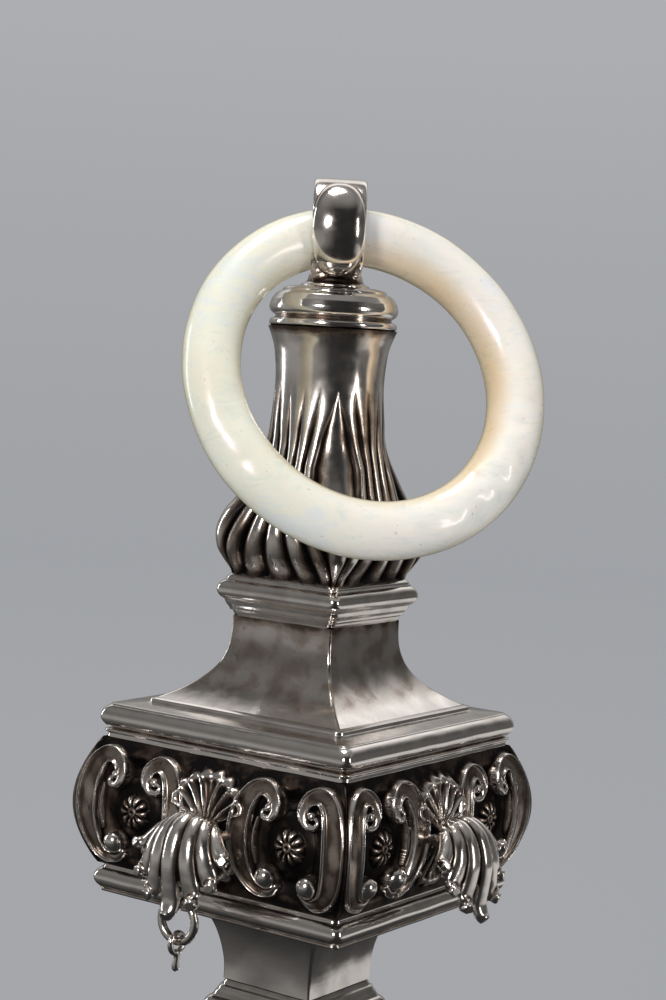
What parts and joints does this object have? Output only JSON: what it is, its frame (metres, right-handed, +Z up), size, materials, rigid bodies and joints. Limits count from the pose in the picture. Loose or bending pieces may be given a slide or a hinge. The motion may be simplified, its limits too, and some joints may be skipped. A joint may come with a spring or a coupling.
{
  "type": "baby rattle",
  "caption": "Square silver rattle box between two baluster handles, with a swinging pearl teething ring, leaf hooks for bells and a whistle mouthpiece.",
  "frame": {"origin": "centre of the mouthpiece's bottom end face", "axes": "+Z up along the handle, towards the teething ring; -Y is the front face of the square box, which carries the jump ring"},
  "size_m": [0.0456, 0.0456, 0.1492],
  "materials": {
    "silver": "polished silver with fine scratches and dark tarnish in the corners",
    "oxidised_silver": "silver with bright worn ridges over dark oxidised hollows",
    "pearl": "polished mother-of-pearl with a soft sheen and shallow natural dents",
    "lead_shot": "dull grey shot"
  },
  "bodies": {
    "rattle": {"ring_strap": "silver", "neck_cap": "silver", "upper_baluster": "oxidised_silver", "upper_collar": "silver", "roof_shell": "silver", "upper_cornice": "silver", "frieze_front": "oxidised_silver", "frieze_right": "oxidised_silver", "frieze_back": "oxidised_silver", "frieze_left": "oxidised_silver", "hook_front": "oxidised_silver", "hook_right": "oxidised_silver", "hook_back": "oxidised_silver", "hook_left": "oxidised_silver", "chamber_floor": "oxidised_silver", "lower_cornice": "silver", "lower_neck": "silver", "lower_collar": "silver", "lower_baluster": "oxidised_silver", "whistle_ferrule": "silver", "whistle_stopper": "silver", "whistle_tube": "silver", "mouthpiece": "silver", "fipple_block": "oxidised_silver"},
    "teething_ring": {"pearl_ring": "pearl"},
    "jump_ring": {"jump_ring": "oxidised_silver"},
    "bell_link": {"bell_link": "oxidised_silver"},
    "pellet_1": {"pellet_1": "lead_shot"},
    "pellet_2": {"pellet_2": "lead_shot"},
    "pellet_3": {"pellet_3": "lead_shot"},
    "pellet_4": {"pellet_4": "lead_shot"}
  },
  "joints": [
    {"name": "ring_swing", "type": "hinge", "parent": "rattle", "child": "teething_ring", "pos_m": [0, 0, 0.1432], "axis": [-0.5584, -0.8246, -0.0913], "range_deg": [0, 306]},
    {"name": "jump_ring_swing", "type": "hinge", "parent": "rattle", "child": "jump_ring", "pos_m": [0, -0.02075, 0.0764], "axis": [1, 0, 0], "range_deg": [-30, 30]},
    {"name": "bell_link_swing", "type": "hinge", "parent": "jump_ring", "child": "bell_link", "pos_m": [0, -0.02075, 0.0722], "axis": [1, 0, 0], "range_deg": [-35, 35]},
    {"name": "pellet_1_bounce", "type": "slide", "parent": "rattle", "child": "pellet_1", "axis": [0, 0, 1], "range_m": [0, 0.01]},
    {"name": "pellet_2_bounce", "type": "slide", "parent": "rattle", "child": "pellet_2", "axis": [0, 0, 1], "range_m": [0, 0.01]},
    {"name": "pellet_3_bounce", "type": "slide", "parent": "rattle", "child": "pellet_3", "axis": [0, 0, 1], "range_m": [0, 0.01]},
    {"name": "pellet_4_bounce", "type": "slide", "parent": "rattle", "child": "pellet_4", "axis": [0, 0, 1], "range_m": [0, 0.01]}
  ]
}
